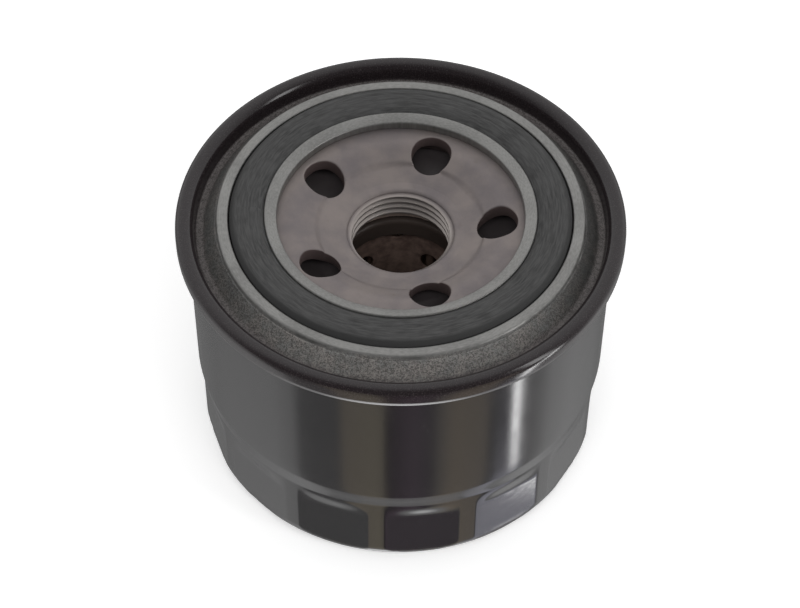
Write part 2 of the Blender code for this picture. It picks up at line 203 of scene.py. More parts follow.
def subdivided(path, longest, closed=True):
    """The same outline with long straight stretches cut into shorter ones."""
    points = []
    count = len(path)
    for index in range(count if closed else count - 1):
        start = path[index]
        end = path[(index + 1) % count]
        pieces = max(1, math.ceil((end - start).length / longest))
        points += [start.lerp(end, piece / pieces) for piece in range(pieces)]
    return points if closed else points + [path[-1]]


# ---- mesh helpers

def skin(made, loops, closed_loops=False):
    """Faces between consecutive loops of bmesh vertices; a loop of one vertex is a pole."""
    pairs = list(zip(loops, loops[1:]))
    if closed_loops:
        pairs.append((loops[-1], loops[0]))
    for near, far in pairs:
        count = max(len(near), len(far))
        for here in range(count):
            after = (here + 1) % count
            corners = []
            for vert in (near[here % len(near)], near[after % len(near)],
                         far[after % len(far)], far[here % len(far)]):
                if vert not in corners:
                    corners.append(vert)
            made.faces.new(corners)


def finish_piece(name, made, finish, body, node, crease_deg=32, merge=2e-7):
    """Turn a bmesh into a smooth piece that stands for a CAD node."""
    bmesh.ops.remove_doubles(made, verts=made.verts, dist=merge)
    bmesh.ops.recalc_face_normals(made, faces=made.faces)
    mesh = bpy.data.meshes.new(name)
    made.to_mesh(mesh)
    made.free()
    mesh.shade_smooth()
    mesh.set_sharp_from_angle(angle=math.radians(crease_deg))
    mesh.materials.append(finish.material)
    piece = bpy.data.objects.new(name, mesh)
    bpy.context.scene.collection.objects.link(piece)
    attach(piece, body)
    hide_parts(node)
    return piece


def in_plan(radius, angle):
    return Vector((radius * math.cos(angle), radius * math.sin(angle)))


def polar(radius, angle, z):
    return Vector((radius * math.cos(angle), radius * math.sin(angle), z)) * MM


def ring(made, radius, z, angles):
    """One loop of vertices round the axis, or the pole itself at radius 0."""
    if radius < 1e-6:
        return [made.verts.new((0, 0, z * MM))]
    return [made.verts.new(polar(radius, angle, z)) for angle in angles]


def rings(made, path, angles):
    return [ring(made, point.x, point.y, angles) for point in path]


def even_angles(count, phase=0.0):
    return [phase + math.tau * step / count for step in range(count)]


def turned_piece(name, corners, finish, body, node, longest, steps=ROUND_STEPS, closed=True,
                 shift=None):
    """A turned piece; shift(point) may move each outline point before it is turned."""
    path = subdivided(rounded(corners, closed), longest, closed)
    if shift:
        path = [shift(point) for point in path]
    made = bmesh.new()
    angles = even_angles(steps)
    skin(made, rings(made, path, angles), closed_loops=closed)
    return finish_piece(name, made, finish, body, node)


def square_ring(name, node, body, finish, radii, fillets, longest, steps=ROUND_STEPS):
    """A ring of rectangular section, as high as its CAD node.

    radii are its inner and outer ones, and fillets those of its lower and upper edges.
    """
    inner, outer = radii
    foot, crown = fillets
    corners = [(inner, low(node), foot), (outer, low(node), foot),
               (outer, high(node), crown), (inner, high(node), crown)]
    return turned_piece(name, corners, finish, body, node, longest, steps)


def holed_cell(made, boundary, centre, radius, place, thickness, edge, rows, power=2):
    """A cell of sheet with a hole: both skins, the rounded edges and the hole's wall.

    boundary and centre are 2-D points on the sheet, and place(point, depth) gives the 3-D
    point at a depth of 0 (outer skin) to 1 (inner skin). The hole is round at power 2, and
    squarer at a higher power.
    """
    directions = []
    for point in boundary:
        away = (point - centre).normalized()
        stretch = (abs(away.x) ** power + abs(away.y) ** power) ** (-1 / power)
        directions.append(away * stretch)
    loops = []

    def add_loop(reach, depth):
        """reach 0 is the hole's edge and 1 is the cell's boundary."""
        loop = []
        for direction, point in zip(directions, boundary):
            start = centre + direction * (radius + edge)
            loop.append(made.verts.new(place(start.lerp(point, reach), depth)))
        loops.append(loop)

    def add_wall(offset, depth):
        loop = [made.verts.new(place(centre + direction * (radius + offset), depth))
                for direction in directions]
        loops.append(loop)

    reaches = [(1 - row / rows) ** 1.4 for row in range(rows + 1)]
    for reach in reaches:
        add_loop(reach, 0)
    turns = [math.radians(turn) for turn in (30, 60, 90)]
    for angle in turns:
        add_wall(edge * (1 - math.sin(angle)), edge * (1 - math.cos(angle)) / thickness)
    for angle in reversed(turns):
        add_wall(edge * (1 - math.sin(angle)), 1 - edge * (1 - math.cos(angle)) / thickness)
    for reach in reversed(reaches):
        add_loop(reach, 1)
    skin(made, loops)


def height_on(path, radius):
    """Height of an outline, whose radius only grows, at a radius."""
    for start, end in zip(path, path[1:]):
        if start.x <= radius <= end.x and end.x > start.x:
            return start.y + (end.y - start.y) * (radius - start.x) / (end.x - start.x)
    return path[0].y if radius < path[0].x else path[-1].y


# ---- node helpers

def rgba(value):
    """A colour from three values, or a grey from one."""
    return (*value, 1) if isinstance(value, tuple) else (value, value, value, 1)


class Nodes:
    """A node tree under construction, with short calls for the nodes that it uses."""

    def __init__(self, tree):
        self.tree = tree

    def node(self, kind, inputs=(), **settings):
        """A node with its settings, and its inputs linked or set."""
        made = self.tree.nodes.new(kind)
        for key, value in settings.items():
            setattr(made, key, value)
        for key, value in dict(inputs).items():
            self.feed(made.inputs[key], value)
        return made

    def feed(self, socket, value):
        """Link an output, or set a plain value."""
        if isinstance(value, bpy.types.NodeSocket):
            self.tree.links.new(value, socket)
        elif socket.type == "RGBA":
            socket.default_value = rgba(value)
        else:
            socket.default_value = value

    def math(self, operation, *values):
        return self.node("ShaderNodeMath", enumerate(values), operation=operation).outputs[0]

    def times(self, a, b):
        return self.math("MULTIPLY", a, b)

    def plus(self, a, b):
        return self.math("ADD", a, b)

    def mix(self, share, a, b):
        inputs = {"Factor": share, "A": a, "B": b}
        return self.node("ShaderNodeMix", inputs, data_type="RGBA").outputs["Result"]

    def axes(self, vector):
        return self.node("ShaderNodeSeparateXYZ", {0: vector}).outputs


class Finish(Nodes):
    """A Principled material; that of a piece is named after the piece's slot."""

    def __init__(self, name, color, roughness, metallic=0.0, specular=0.5):
        self.slot = name
        self.material = bpy.data.materials.new(name)
        self.material.use_nodes = True
        super().__init__(self.material.node_tree)
        self.shader = self.tree.nodes["Principled BSDF"]
        for key, value in (("Base Color", color), ("Roughness", roughness),
                           ("Metallic", metallic), ("Specular IOR Level", specular)):
            self.feed(self.shader.inputs[key], value)
        self.place = self.node("ShaderNodeTexCoord").outputs["Object"]

    def stretch(self, scale):
        inputs = {"Vector": self.place, "Scale": scale}
        return self.node("ShaderNodeMapping", inputs).outputs["Vector"]

    def noise(self, size_mm, detail=3.0, roughness=0.55, vector=None):
        """Noise from 0 to 1 whose features are about size_mm across."""
        inputs = {"Vector": vector or self.place, "Scale": 1 / (size_mm * MM),
                  "Detail": detail, "Roughness": roughness}
        return self.node("ShaderNodeTexNoise", inputs).outputs["Fac"]

    def spread(self, value, start, end, to_start=0.0, to_end=1.0, smooth=True):
        """Map a range to another, clamped."""
        inputs = {"Value": value, "From Min": start, "From Max": end,
                  "To Min": to_start, "To Max": to_end}
        curve = "SMOOTHSTEP" if smooth else "LINEAR"
        return self.node("ShaderNodeMapRange", inputs, clamp=True,
                         interpolation_type=curve).outputs["Result"]

    def soft(self, noise, a=0.0, b=1.0):
        """A noise's usual range mapped to a range of values."""
        return self.spread(noise, 0.3, 0.7, a, b)

    def between(self, share, a, b):
        """A value that goes straight from a to b as share goes from 0 to 1."""
        return self.spread(share, 0, 1, a, b, smooth=False)

    def radius(self):
        """Distance from the filter's axis, in millimetres."""
        flat = self.node("ShaderNodeVectorMath", {0: self.place, 1: (1 / MM, 1 / MM, 0)},
                         operation="MULTIPLY")
        return self.node("ShaderNodeVectorMath", {0: flat.outputs["Vector"]},
                         operation="LENGTH").outputs["Value"]

    def along(self, axis):
        """A coordinate in millimetres, from the axis or the floor."""
        return self.times(self.axes(self.place)[axis], 1 / MM)

    def scaled(self, color, gain):
        return self.node("ShaderNodeVectorMath", {0: color, "Scale": gain},
                         operation="SCALE").outputs["Vector"]

    def streaks(self, across_mm, along_mm):
        """Noise from 0 to 1 drawn out round the axis."""
        axes = self.axes(self.place)
        angle = self.math("ARCTAN2", axes["Y"], axes["X"])
        spot = self.node("ShaderNodeCombineXYZ",
                         {"X": self.times(self.radius(), 1 / across_mm),
                          "Y": self.times(angle, STREAK_R / along_mm)})
        inputs = {"Vector": spot.outputs["Vector"], "Scale": 1.0, "Detail": 3.0}
        return self.node("ShaderNodeTexNoise", inputs).outputs["Fac"]

    def turning(self, per_mm, detail):
        """Noise from 0 to 1 in rings round the axis."""
        inputs = {"W": self.times(self.radius(), per_mm), "Detail": detail}
        return self.node("ShaderNodeTexNoise", inputs, noise_dimensions="1D").outputs["Fac"]

    def bump(self, height, depth_mm, strength, under=None):
        inputs = {"Strength": strength, "Distance": depth_mm * MM, "Height": height}
        if under:
            inputs["Normal"] = under
        normal = self.node("ShaderNodeBump", inputs).outputs["Normal"]
        self.feed(self.shader.inputs["Normal"], normal)
        return normal

    def color(self, value):
        self.feed(self.shader.inputs["Base Color"], value)

    def rough(self, value):
        self.feed(self.shader.inputs["Roughness"], value)

    def metal(self, value):
        self.feed(self.shader.inputs["Metallic"], value)


# ---- materials

def can_paint():
    """Gloss black enamel with orange peel, faint dust, and a scuffed foot."""
    made = Finish("can_paint", (0.012, 0.011, 0.012), 0.13)
    blotch = made.noise(14, 4)
    dust = made.spread(made.noise(0.7, 2), 0.62, 0.80)
    tone = made.mix(blotch, (0.0085, 0.008, 0.0085), (0.016, 0.0145, 0.0155))
    made.color(made.mix(made.times(dust, 0.25), tone, (0.07, 0.068, 0.066)))
    streaks = made.noise(0.5, 3, vector=made.stretch((1, 1, 0.03)))
    gloss = made.plus(made.soft(blotch, 0.10, 0.15), made.times(streaks, 0.04))
    gloss = made.times(gloss, made.spread(made.along("Z"), 18.5, 23.0, 0.35, 1.0))
    scuff = made.spread(made.along("Z"), 1.2, 4.6, 0.45, 0.0)
    made.rough(made.plus(gloss, scuff))
    peel = made.bump(made.noise(1.6, 2), 0.010, 0.35)
    made.bump(made.noise(0.25, 2), 0.003, 0.3, under=peel)
    return made


def lid_steel():
    """Plated sheet inside, black enamel outside, and a soft speckled overspray where they meet,
    with painted light and shade that vary by position.
    """
    made = Finish("lid_steel", (0.24, 0.24, 0.232), 0.45)
    radius = made.radius()
    drift = made.times(made.math("SUBTRACT", made.noise(6, 3), 0.5), 1.2)
    edge = made.plus(radius, drift)
    fine_grain = made.noise(0.22, 1, 0.5)
    speckle = made.plus(made.times(fine_grain, 0.6), made.times(made.noise(0.5, 2, 0.5), 0.4))
    metal_grain = made.plus(made.times(made.noise(9, 4), 0.5),
                            made.times(made.streaks(0.25, 0.8), 0.5))
    metal_tone = made.mix(made.soft(metal_grain), (0.212, 0.210, 0.204), (0.318, 0.315, 0.305))
    grain = made.spread(speckle, 0.37, 0.63)
    cloud = made.spread(made.noise(3.5, 4, 0.7), 0.35, 0.65)
    pale = made.mix(cloud, (0.128, 0.130, 0.126), (0.170, 0.158, 0.148))
    mist_tone = made.mix(grain, (0.050, 0.047, 0.045), pale)
    dusk_tone = made.mix(grain, (0.042, 0.036, 0.035), (0.128, 0.116, 0.113))
    # painted light and shade: this gain scales the overspray's colour by where it lies, brighter
    # towards the front (-Y) and the back (+Y), darker between them and towards the +X side
    gain = made.plus(made.spread(made.along("Y"), -34.0, -16.0, 1.42, 0.68),
                     made.spread(made.along("Y"), 14.0, 34.0, 0.0, 0.35))
    gain = made.times(gain, made.spread(made.along("X"), 26.0, 36.0, 1.0, 0.6))
    mist_and_painted_light = made.mix(made.spread(edge, 37.2, 38.1), made.scaled(mist_tone, gain), dusk_tone)
    misted = made.spread(edge, 34.85, 35.3)
    enamel = made.spread(radius, 38.95, 39.3)
    dusty = made.mix(made.spread(fine_grain, 0.5, 0.8), (0.0115, 0.0078, 0.0090),
                     (0.036, 0.030, 0.031))
    outside = made.mix(enamel, mist_and_painted_light, dusty)
    made.color(made.mix(misted, metal_tone, outside))
    made.metal(made.between(misted, 0.86, 0.0))
    bare_rough = made.plus(0.40, made.times(made.noise(0.5, 3), 0.12))
    outer_rough = made.between(enamel, 0.62, 0.17)
    made.rough(made.between(misted, bare_rough, outer_rough))
    made.bump(speckle, 0.012, 0.4)
    return made


def plate_steel():
    """Bare warm-grey steel: faint turning rings, oil bloom and fine grain, with painted shade on
    the hole walls and painted highlights on the thread crests.
    """
    made = Finish("plate_steel", (0.18, 0.16, 0.155), 0.58, 0.72)
    bloom = made.noise(7, 4)
    grain = made.noise(0.35, 3)
    warm = made.mix(made.spread(bloom, 0.3, 0.72), (0.272, 0.238, 0.226), (0.215, 0.192, 0.195))
    stain = made.spread(made.noise(3.2, 5, 0.65), 0.60, 0.78)
    stained = made.mix(made.times(stain, 0.35), warm, (0.17, 0.138, 0.112))
    # painted highlight: the thread's crests below the mouth get a much paler colour, besides a
    # smoother finish
    crest = made.times(made.spread(made.radius(), 9.7, 10.1, 1.0, 0.0),
                       made.spread(made.along("Z"), 52.9, 53.5, 1.0, 0.0))
    normal = made.axes(made.node("ShaderNodeNewGeometry").outputs["Normal"])
    upright = made.math("ABSOLUTE", normal["Z"])
    # painted shade: steep walls away from the bore, in the inlet holes, get a darker brown colour
    wall = made.times(made.spread(upright, 0.3, 0.65, 1.0, 0.0),
                      made.spread(made.radius(), 14.3, 14.6))
    stained_and_hole_shade = made.mix(wall, stained, (0.170, 0.128, 0.124))
    made.color(made.mix(crest, stained_and_hole_shade, (0.37, 0.335, 0.315)))
    rings = made.turning(3.2, 4.0)
    dull = made.plus(made.spread(bloom, 0.25, 0.75, 0.50, 0.60), made.times(grain, 0.10))
    made.rough(made.between(crest, dull, 0.32))
    turned_rings = made.bump(rings, 0.02, 0.35)
    made.bump(grain, 0.008, 0.5, under=turned_rings)
    return made


def gasket_rubber():
    """Dusty nitrile: matt, with moulding rings and small pale specks, and painted shade on its
    outer edge.
    """
    made = Finish("gasket_rubber", (0.05, 0.051, 0.053), 0.72, specular=0.35)
    cloud = made.noise(6, 4)
    fine = made.noise(0.3, 3, 0.7)
    tone = made.mix(made.soft(cloud), (0.034, 0.0338, 0.0338), (0.051, 0.0507, 0.0507))
    worn_and_edge_shade = made.mix(made.spread(made.streaks(0.3, 3.0), 0.35, 0.7), tone, (0.068, 0.068, 0.0675))
    # painted shade: the outer rounded edge is darker and has none of the top face's worn streaks
    worn_and_edge_shade = made.mix(made.spread(made.radius(), 31.3, 32.1), worn_and_edge_shade, (0.033, 0.033, 0.033))
    specks = made.spread(fine, 0.66, 0.8)
    made.color(made.mix(made.times(specks, 0.35), worn_and_edge_shade, (0.15, 0.15, 0.15)))
    rings = made.turning(4.5, 3.0)
    made.rough(made.plus(0.62, made.times(fine, 0.2)))
    moulding = made.bump(rings, 0.03, 0.5)
    made.bump(fine, 0.01, 0.5, under=moulding)
    return made


def valve_rubber():
    """Black nitrile, browned by oil round the bore, where its colour is also made much paler as
    painted light.
    """
    made = Finish("valve_rubber", (0.035, 0.036, 0.038), 0.5)
    film = made.noise(2.4, 4)
    black = made.mix(film, (0.032, 0.027, 0.028), (0.056, 0.049, 0.050))
    # oil stain and painted light: the bore's wall is a pale brown, so that it reads bright where
    # little light reaches
    oil_and_painted_light = made.mix(made.noise(1.5, 4), (0.36, 0.28, 0.24), (0.52, 0.42, 0.37))
    made.color(made.mix(made.spread(made.radius(), 12.34, 12.5), oil_and_painted_light, black))
    made.rough(made.soft(film, 0.38, 0.6))
    made.bump(made.noise(0.3, 3), 0.01, 0.5)
    return made


def cap_steel():
    """Tin-plated sheet of the element's caps, tube and valve."""
    made = Finish("cap_steel", (0.42, 0.41, 0.385), 0.35, 1.0)
    spangle = made.noise(4, 5, 0.6)
    bright = made.mix(spangle, (0.36, 0.35, 0.32), (0.50, 0.49, 0.465))
    oiled = made.spread(made.radius(), 12.6, 14.0, 1.0, 0.0)
    oiled = made.times(oiled, made.spread(made.along("Z"), 36.0, 39.0))
    made.color(made.mix(oiled, bright, (0.056, 0.043, 0.037)))
    made.metal(made.between(oiled, 1.0, 0.15))
    drawn = made.noise(0.4, 3, vector=made.stretch((1, 1, 0.08)))
    made.rough(made.plus(made.soft(spangle, 0.26, 0.38),
                         made.times(drawn, 0.08)))
    made.bump(drawn, 0.006, 0.4)
    return made


def tube_steel():
    """Sheet of the centre tube, brown with baked oil and resin."""
    made = Finish("tube_steel", (0.28, 0.20, 0.165), 0.5, 0.1)
    crust = made.noise(1.8, 5, 0.65)
    made.color(made.mix(made.soft(crust), (0.095, 0.063, 0.053), (0.215, 0.152, 0.127)))
    made.rough(made.soft(crust, 0.42, 0.65))
    made.bump(crust, 0.02, 0.6)
    return made


def spring_steel():
    made = Finish("spring_steel", (0.16, 0.165, 0.18), 0.32, 1.0)
    temper = made.noise(3, 3)
    made.color(made.mix(made.spread(temper, 0.35, 0.65), (0.13, 0.135, 0.155), (0.21, 0.20, 0.19)))
    made.rough(made.soft(made.noise(0.5, 3), 0.26, 0.40))
    made.bump(made.noise(0.25, 2), 0.005, 0.4)
    return made


def filter_paper():
    """Resin-bonded paper: fibres, ochre clouding and a soft tooth."""
    made = Finish("filter_paper", (0.55, 0.38, 0.17), 0.9, specular=0.2)
    fibre = made.noise(0.35, 4, 0.75, vector=made.stretch((1, 1, 0.25)))
    cloud = made.noise(5, 3)
    tone = made.mix(made.soft(cloud), (0.50, 0.33, 0.135), (0.66, 0.48, 0.24))
    fibrous = made.mix(made.spread(fibre, 0.35, 0.75, 0.0, 0.45), tone, (0.36, 0.22, 0.09))
    made.color(made.mix(made.spread(made.radius(), 16.5, 20.0), (0.085, 0.058, 0.045), fibrous))
    made.rough(made.spread(fibre, 0.2, 0.8, 0.82, 0.95))
    made.bump(fibre, 0.05, 0.7)
    return made


def adhesive():
    made = Finish("adhesive", (0.42, 0.11, 0.035), 0.42)
    flow = made.noise(2.5, 4)
    made.color(made.mix(flow, (0.34, 0.08, 0.025), (0.52, 0.16, 0.06)))
    made.rough(made.soft(flow, 0.32, 0.5))
    made.bump(made.noise(1.2, 3), 0.06, 0.5)
    return made


def compound():
    made = Finish("compound", (0.2, 0.18, 0.15), 0.75)
    lump = made.noise(1.1, 4)
    made.color(made.mix(lump, (0.15, 0.135, 0.11), (0.26, 0.235, 0.20)))
    made.rough(made.soft(lump, 0.65, 0.85))
    made.bump(lump, 0.06, 0.6)
    return made


# ---- housing

def soft_min(a, b, softness):
    """The smaller of two lengths, with the crossing rounded off."""
    share = max(softness - abs(a - b), 0) / softness
    return min(a, b) - share * share * softness / 4


def flat_columns():
    """Angles round one flat, close together at its edges: (angle from the middle)."""
    half_pitch = math.pi / FLAT_COUNT
    edge = math.acos(FLAT_APOTHEM / RIDGE_R)
    near = [edge + math.radians(step) for step in (-2.2, -1.4, -0.9, -0.5, -0.2, 0.1, 0.4, 0.7)]
    middle = [edge * share for share in (0, 0.16, 0.32, 0.48, 0.64)]
    positive = sorted(middle + near)
    negative = [-angle for angle in reversed(positive) if angle > 0]
    return [-half_pitch] + negative + positive


def can_radius(radius, z, from_middle, offset):
    """Radius of the can at a flat: the turned outline, cut by the flat, whose top sweeps out."""
    rise = min(1.0, max(0.0, (z - FLAT_TOP) / RUN_OUT))
    limit = (FLAT_APOTHEM - offset) / math.cos(from_middle)
    cut = soft_min(radius, limit, 0.06)
    return cut + (radius - cut) * rise * rise * (3 - 2 * rise)


def can_rows(path):
    """The can's outline in short steps at the tops of the flats and long ones elsewhere."""
    rows = []
    for start, end in zip(path, path[1:]):
        fine = SHOULDER_LOW + 0.5 > max(start.y, end.y) > FLAT_TOP - 1
        pieces = math.ceil((end - start).length / (0.24 if fine else 3.2))
        rows += [start.lerp(end, piece / pieces) for piece in range(pieces)]
    return rows + [path[-1]]


def make_can(finish):
    inner_r = BODY_R - CAN_SHEET
    hook_r = SEAM_R - 1.0
    outside = rounded([(0, 1.1), (15.5, 1.1, 3), (18.5, 0, 2), (RIDGE_R, 0, CORNER_R),
                       (RIDGE_R, FLAT_TOP - 0.9), (RIDGE_R, SHOULDER_LOW, 3),
                       (BODY_R, SHOULDER_TOP, 3), (BODY_R, 56.45, 0.3),
                       (hook_r - 0.5, 56.6, 0.1), (hook_r - 0.5, 55.9, 0),
                       (hook_r, 55.9, 0.1), (hook_r, 57.1, 0.3), (inner_r, 57.1, 0.25)],
                      closed=False)[:-1]
    inside = rounded([(inner_r, 57.1, 0.25), (inner_r, SHOULDER_TOP, 3),
                      (RIDGE_R - CAN_SHEET, SHOULDER_LOW, 3),
                      (RIDGE_R - CAN_SHEET, CAN_SHEET, CORNER_R - CAN_SHEET),
                      (18.7, CAN_SHEET, 2), (15.7, 1.1 + CAN_SHEET, 3), (0, 1.1 + CAN_SHEET)],
                     closed=False)
    columns = []
    for flat in range(FLAT_COUNT):
        middle = FLAT_PHASE + math.tau * flat / FLAT_COUNT
        columns += [(middle + angle, angle) for angle in flat_columns()]
    made = bmesh.new()
    loops = []
    for path, offset in ((outside, 0.0), (inside, CAN_SHEET)):
        for point in can_rows(path):
            if point.x < 1e-6:
                loops.append([made.verts.new((0, 0, point.y * MM))])
                continue
            loops.append([made.verts.new(polar(can_radius(point.x, point.y, away, offset),
                                               angle, point.y)) for angle, away in columns])
    skin(made, loops)
    return finish_piece("can_body", made, finish, "housing", "can_shell", crease_deg=40)


def make_lid(finish):
    under = CHANNEL_FLOOR - LID_SHEET
    corners = [(23.6, 57.42, 0.15), (23.6, 58.98, 0.42), (24.6, 59.35, 0.5), (26.02, 59.8, 0.42),
               (26.02, CHANNEL_FLOOR, 0.5), (32.79, CHANNEL_FLOOR, 0.5), (32.79, LIP_TOP, 0.35),
               (34.9, LIP_TOP, 0.8), (35.2, 58.35, 0.12), (35.42, 58.25, 0.15),
               (37.75, 55.25, 0.9), (39.15, 55.1, 0.5),
               (39.74, 58.72, 1.8), (SEAM_R, 58.72, 1.5), (SEAM_R, 55.8, 0.6),
               (42.58, 54.55, 0.45),
               (41.0, 54.6, 0.2), (41.0, 55.5, 0.15), (42.34, 55.5, 0.5), (42.34, 58.16, 1.0),
               (40.2, 58.16, 0.9), (39.75, under - 0.15, 0.9), (37.3, 55.25, 1.0),
               (34.45, 58.68, 0.3), (33.4, 58.68, 0.2), (33.4, under, 0.8),
               (25.42, under, 0.8), (25.42, 59.0, 0.3), (24.34, 58.65, 0.3),
               (24.34, 57.42, 0.15)]
    return turned_piece("lid_panel", corners, finish, "housing", "seaming_lid", 1.2, steps=320)


def thread_radius(z, angle):
    """Radius of the right-handed internal thread at a height and an angle."""
    turns = (z - THREAD_CREST_Z) / THREAD_PITCH - (angle / math.tau - 0.25)
    away = abs((turns + 0.5) % 1.0 - 0.5)
    crest = min(1.0, max(0.0, (0.44 - away) / 0.33))
    entry = min(1.0, max(0.0, (MOUTH_Z - MOUTH_DEPTH - z) / 0.15))
    leave = min(1.0, max(0.0, (z - NECK_BOTTOM) / 0.5))
    return THREAD_MAJOR_R - (THREAD_MAJOR_R - THREAD_MINOR_R) * crest * min(entry, leave)


def make_plate(finish):
    """Dished plate: five cells with an inlet hole each, the threaded neck and the flange."""
    cell_in, cell_out = 13.2, 24.1
    arc_steps, side_steps = 40, 18
    recess_low = PLATE_RECESS - PLATE_T
    flange_top = CHANNEL_FLOOR - LID_SHEET - 0.35
    top = rounded([(FUNNEL_R, FUNNEL_Z), (15.8, PLATE_RECESS + 0.05, 0.3),
                   (16.2, PLATE_RECESS + 0.6, 0.35), (19.9, PLATE_TOP, 5.0),
                   (cell_out + 1, PLATE_TOP)], closed=False)
    bottom = rounded([(cell_in - 1, recess_low), (16.2, recess_low, 2.0),
                      (20.8, PLATE_TOP - PLATE_T, 3.0), (22.8, PLATE_TOP - PLATE_T, 0.8),
                      (24.0, flange_top - PLATE_T, 0.6), (cell_out + 1, flange_top - PLATE_T)],
                     closed=False)

    def place(point, depth):
        radius = point.length
        z = height_on(top, radius) * (1 - depth) + height_on(bottom, radius) * depth
        return Vector((point.x, point.y, z)) * MM

    made = bmesh.new()
    sector = math.tau / INLET_COUNT
    for hole in range(INLET_COUNT):
        middle = INLET_PHASE + sector * hole
        arc = [middle - sector / 2 + sector * step / arc_steps for step in range(arc_steps + 1)]
        rise = [cell_in + (cell_out - cell_in) * step / side_steps
                for step in range(side_steps + 1)]
        spots = [(cell_in, angle) for angle in arc]
        spots += [(radius, arc[-1]) for radius in rise[1:]]
        spots += [(cell_out, angle) for angle in reversed(arc[:-1])]
        spots += [(radius, arc[0]) for radius in reversed(rise[1:-1])]
        boundary = [in_plan(radius, angle) for radius, angle in spots]
        holed_cell(made, boundary, in_plan(INLET_PITCH_R, middle), INLET_R, place, PLATE_T, 0.3,
                   rows=16)

    angles = even_angles(INLET_COUNT * arc_steps, INLET_PHASE - sector / 2)
    mouth = rounded([(cell_in, height_on(top, cell_in)), (FUNNEL_R, FUNNEL_Z, 1.0),
                     (MOUTH_R, MOUTH_Z)], closed=False)[:-1]
    for step in range(19):
        angle = math.radians(5 * step)
        mouth.append(Vector((MOUTH_R - (MOUTH_R - MOUTH_LIP_R) * math.sin(angle),
                             MOUTH_Z - MOUTH_DEPTH * (1 - math.cos(angle)))))
    thread_top = MOUTH_Z - MOUTH_DEPTH - 0.05
    mouth.append(Vector((THREAD_MAJOR_R, thread_top)))
    neck = rounded([(THREAD_MAJOR_R, NECK_BOTTOM), (NECK_R, NECK_BOTTOM, 0.5),
                    (NECK_R, recess_low, 1.2), (cell_in, height_on(bottom, cell_in))],
                   closed=False)
    loops = rings(made, mouth, angles)
    rows = 120
    for row in range(1, rows):
        z = thread_top + (NECK_BOTTOM - thread_top) * row / rows
        loops.append([made.verts.new(polar(thread_radius(z, angle), angle, z))
                      for angle in angles])
    loops += rings(made, neck, angles)
    skin(made, loops)
    flange = rounded([(cell_out, height_on(bottom, cell_out)), (PLATE_R, flange_top - PLATE_T, 0.4),
                      (PLATE_R, flange_top, 0.4), (25.05, flange_top, 0.3),
                      (24.75, PLATE_TOP, 0.5), (cell_out, PLATE_TOP)], closed=False)
    skin(made, rings(made, subdivided(flange, 2.0, closed=False), angles))
    return finish_piece("threaded_plate", made, finish, "housing", "base_plate",
                        crease_deg=38, merge=2e-6)


def gasket_relief(point):
    """Shallow moulded rings on the gasket's top face."""
    if point.y < GASKET_TOP - 0.9 or not 27.0 < point.x < 31.6:
        return point
    dip = 0.0
    for middle, width, depth in ((28.9, 0.24, 0.12), (29.6, 0.22, -0.05), (30.25, 0.18, 0.10)):
        dip += depth * math.exp(-((point.x - middle) / width) ** 2)
    return Vector((point.x, point.y - max(dip, 0.0)))


def make_gasket(finish):
    foot = CHANNEL_FLOOR + 0.05
    corners = [(26.06, foot, 0.4), (32.74, foot, 0.4), (32.6, 59.0, 0.5), (31.9, 60.0, 0.6),
               (30.9, GASKET_TOP, 1.5), (28.2, GASKET_TOP - 0.02, 2.0), (27.0, 60.0, 0.8),
               (26.06, 59.25, 0.3)]
    return turned_piece("gasket_ring", corners, finish, "housing", "sealing_gasket", 0.12,
                        steps=288, shift=gasket_relief)


def make_anti_drain_valve(finish):
    lip_top = high("anti_drain_valve")
    foot = low("anti_drain_valve")
    corners = [(12.3, foot, 0.3), (14.3, foot, 0.4), (14.9, foot + 3.2, 1.2),
               (26.6, lip_top - 1.3, 0.6), (28.4, lip_top - 1.0, 0.3), (28.4, lip_top, 0.2),
               (26.2, lip_top, 0.5), (16.2, 48.9, 1.0), (14.6, 49.6, 0.5), (12.3, 49.6, 0.3)]
    return turned_piece("drain_valve_skirt", corners, finish, "housing", "anti_drain_valve", 1.0)


def make_support_spring(finish):
    """Pressed leaf spring: a ring, and legs that sweep down to the can's floor."""
    top, bottom = high("support_spring"), low("support_spring")
    drop = top - bottom - LEAF_T
    steps = 128
    side_steps = steps // 16
    half_angle = math.tau / 16
    made = bmesh.new()
    loops = [ring(made, radius, top, even_angles(steps))
             for radius in (LEAF_HOLE_R, 10.6, 12.0, LEAF_RING_R)]
    skin(made, loops)
    half_width = LEAF_RING_R * math.sin(half_angle)
    offsets = range(-side_steps, side_steps + 1)
    shares = [math.sin(math.tau * offset / steps) / math.sin(half_angle) for offset in offsets]
    rows = 40
    for leg in range(LEG_COUNT):
        turn = Matrix.Rotation(math.tau * leg / LEG_COUNT, 3, "Z")
        last = [loops[-1][(leg * steps // LEG_COUNT + offset) % steps] for offset in offsets]
        for row in range(1, rows + 1):
            reach = LEAF_RING_R + (LEG_REACH - LEAF_RING_R) * row / rows
            share = min(1.0, (reach - LEAF_RING_R) / LEG_SLOPE)
            z = top - drop * share * share * (3 - 2 * share)
            past = max(0.0, reach - (LEG_REACH - LEG_TIP_R)) / LEG_TIP_R
            width = half_width - LEG_TIP_R * (1 - math.sqrt(max(0.0, 1 - past * past)))
            line = []
            for side in shares:
                root = LEAF_RING_R * math.cos(math.asin(side * math.sin(half_angle)))
                straighten = math.exp((LEAF_RING_R - reach) / LEG_BLEND)
                along = reach - (LEAF_RING_R - root) * straighten
                line.append(made.verts.new(turn @ (Vector((along, side * width, z)) * MM)))
            for here in range(len(line) - 1):
                made.faces.new((last[here], line[here], line[here + 1], last[here + 1]))
            last = line
    bmesh.ops.recalc_face_normals(made, faces=made.faces)
    up = sum(face.normal.z * face.calc_area() for face in made.faces)
    thickness = LEAF_T * MM if up > 0 else -LEAF_T * MM
    bmesh.ops.solidify(made, geom=made.faces[:], thickness=thickness)
    piece = finish_piece("leaf_spring", made, finish, "housing", "support_spring", crease_deg=50)
    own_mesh(piece)
    return piece


# ---- filter element

